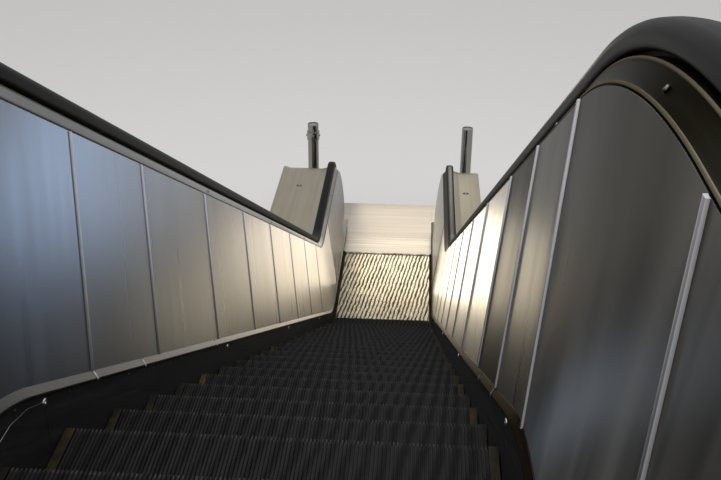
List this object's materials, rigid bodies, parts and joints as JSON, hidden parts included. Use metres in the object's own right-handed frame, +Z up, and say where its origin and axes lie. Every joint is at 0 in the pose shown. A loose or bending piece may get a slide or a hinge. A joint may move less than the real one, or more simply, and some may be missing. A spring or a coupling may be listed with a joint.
{
  "type": "escalator",
  "caption": "Inclined moving stair between two floors, with cleated steps, comb plates, solid leaning metal balustrades, black handrails and wide decks.",
  "frame": {"origin": "on the underside of the lower landing pan, below the lower working point and midway between the skirts", "axes": "+X runs uphill along the length, +Y is the right side seen from the top looking down, +Z is up"},
  "size_m": [13.4257, 2.22, 5.662],
  "materials": {
    "truss_paint": "primed and painted steel, satin",
    "cladding_sheet": "brushed stainless sheet",
    "bearing_steel": "painted steel angle",
    "landing_steel": "brushed stainless plate",
    "comb_aluminium": "worn aluminium",
    "step_aluminium": "dark painted grooves with worn cleat tops",
    "edge_insert_plastic": "ochre moulded insert, dirty",
    "skirt_steel": "dark low friction coat on steel",
    "bright_trim": "bright stainless trim",
    "deck_steel": "brushed stainless sheet",
    "panel_steel": "brushed stainless sheet",
    "handrail_rubber": "smooth black rubber",
    "inlet_plastic": "black moulded cap",
    "post_steel": "polished stainless tube"
  },
  "bodies": {
    "root": {"truss_lower": "truss_paint", "truss_incline": "truss_paint", "truss_upper": "truss_paint", "soffit_panels": "cladding_sheet", "upper_bearing": "bearing_steel", "landing_frame_lower": "landing_steel", "floor_plate_lower": "landing_steel", "comb_plate_lower": "comb_aluminium", "comb_lower": "comb_aluminium", "landing_frame_upper": "landing_steel", "floor_plate_upper": "landing_steel", "comb_plate_upper": "comb_aluminium", "comb_upper": "comb_aluminium", "step_bodies": "step_aluminium", "step_treads_lower": "step_aluminium", "step_treads_incline": "step_aluminium", "step_treads_upper": "step_aluminium", "step_edge_inserts": "edge_insert_plastic", "skirt_left": "skirt_steel", "skirt_right": "skirt_steel", "skirt_moulding_left": "bright_trim", "skirt_moulding_right": "bright_trim", "balustrade_base_left": "deck_steel", "balustrade_base_right": "deck_steel", "inner_panels_left": "panel_steel", "inner_panels_right": "panel_steel", "joint_strips_left": "bright_trim", "joint_strips_right": "bright_trim", "newel_cores_left": "deck_steel", "newel_cores_right": "deck_steel", "handrail_guide_left": "bright_trim", "handrail_guide_right": "bright_trim", "handrail_left": "handrail_rubber", "handrail_right": "handrail_rubber", "handrail_inlets_left": "inlet_plastic", "handrail_inlets_right": "inlet_plastic", "deck_covers_left": "deck_steel", "deck_covers_right": "deck_steel", "outer_cladding_left": "cladding_sheet", "outer_cladding_right": "cladding_sheet", "guide_post_left": "post_steel", "guide_post_right": "post_steel"}
  },
  "joints": []
}
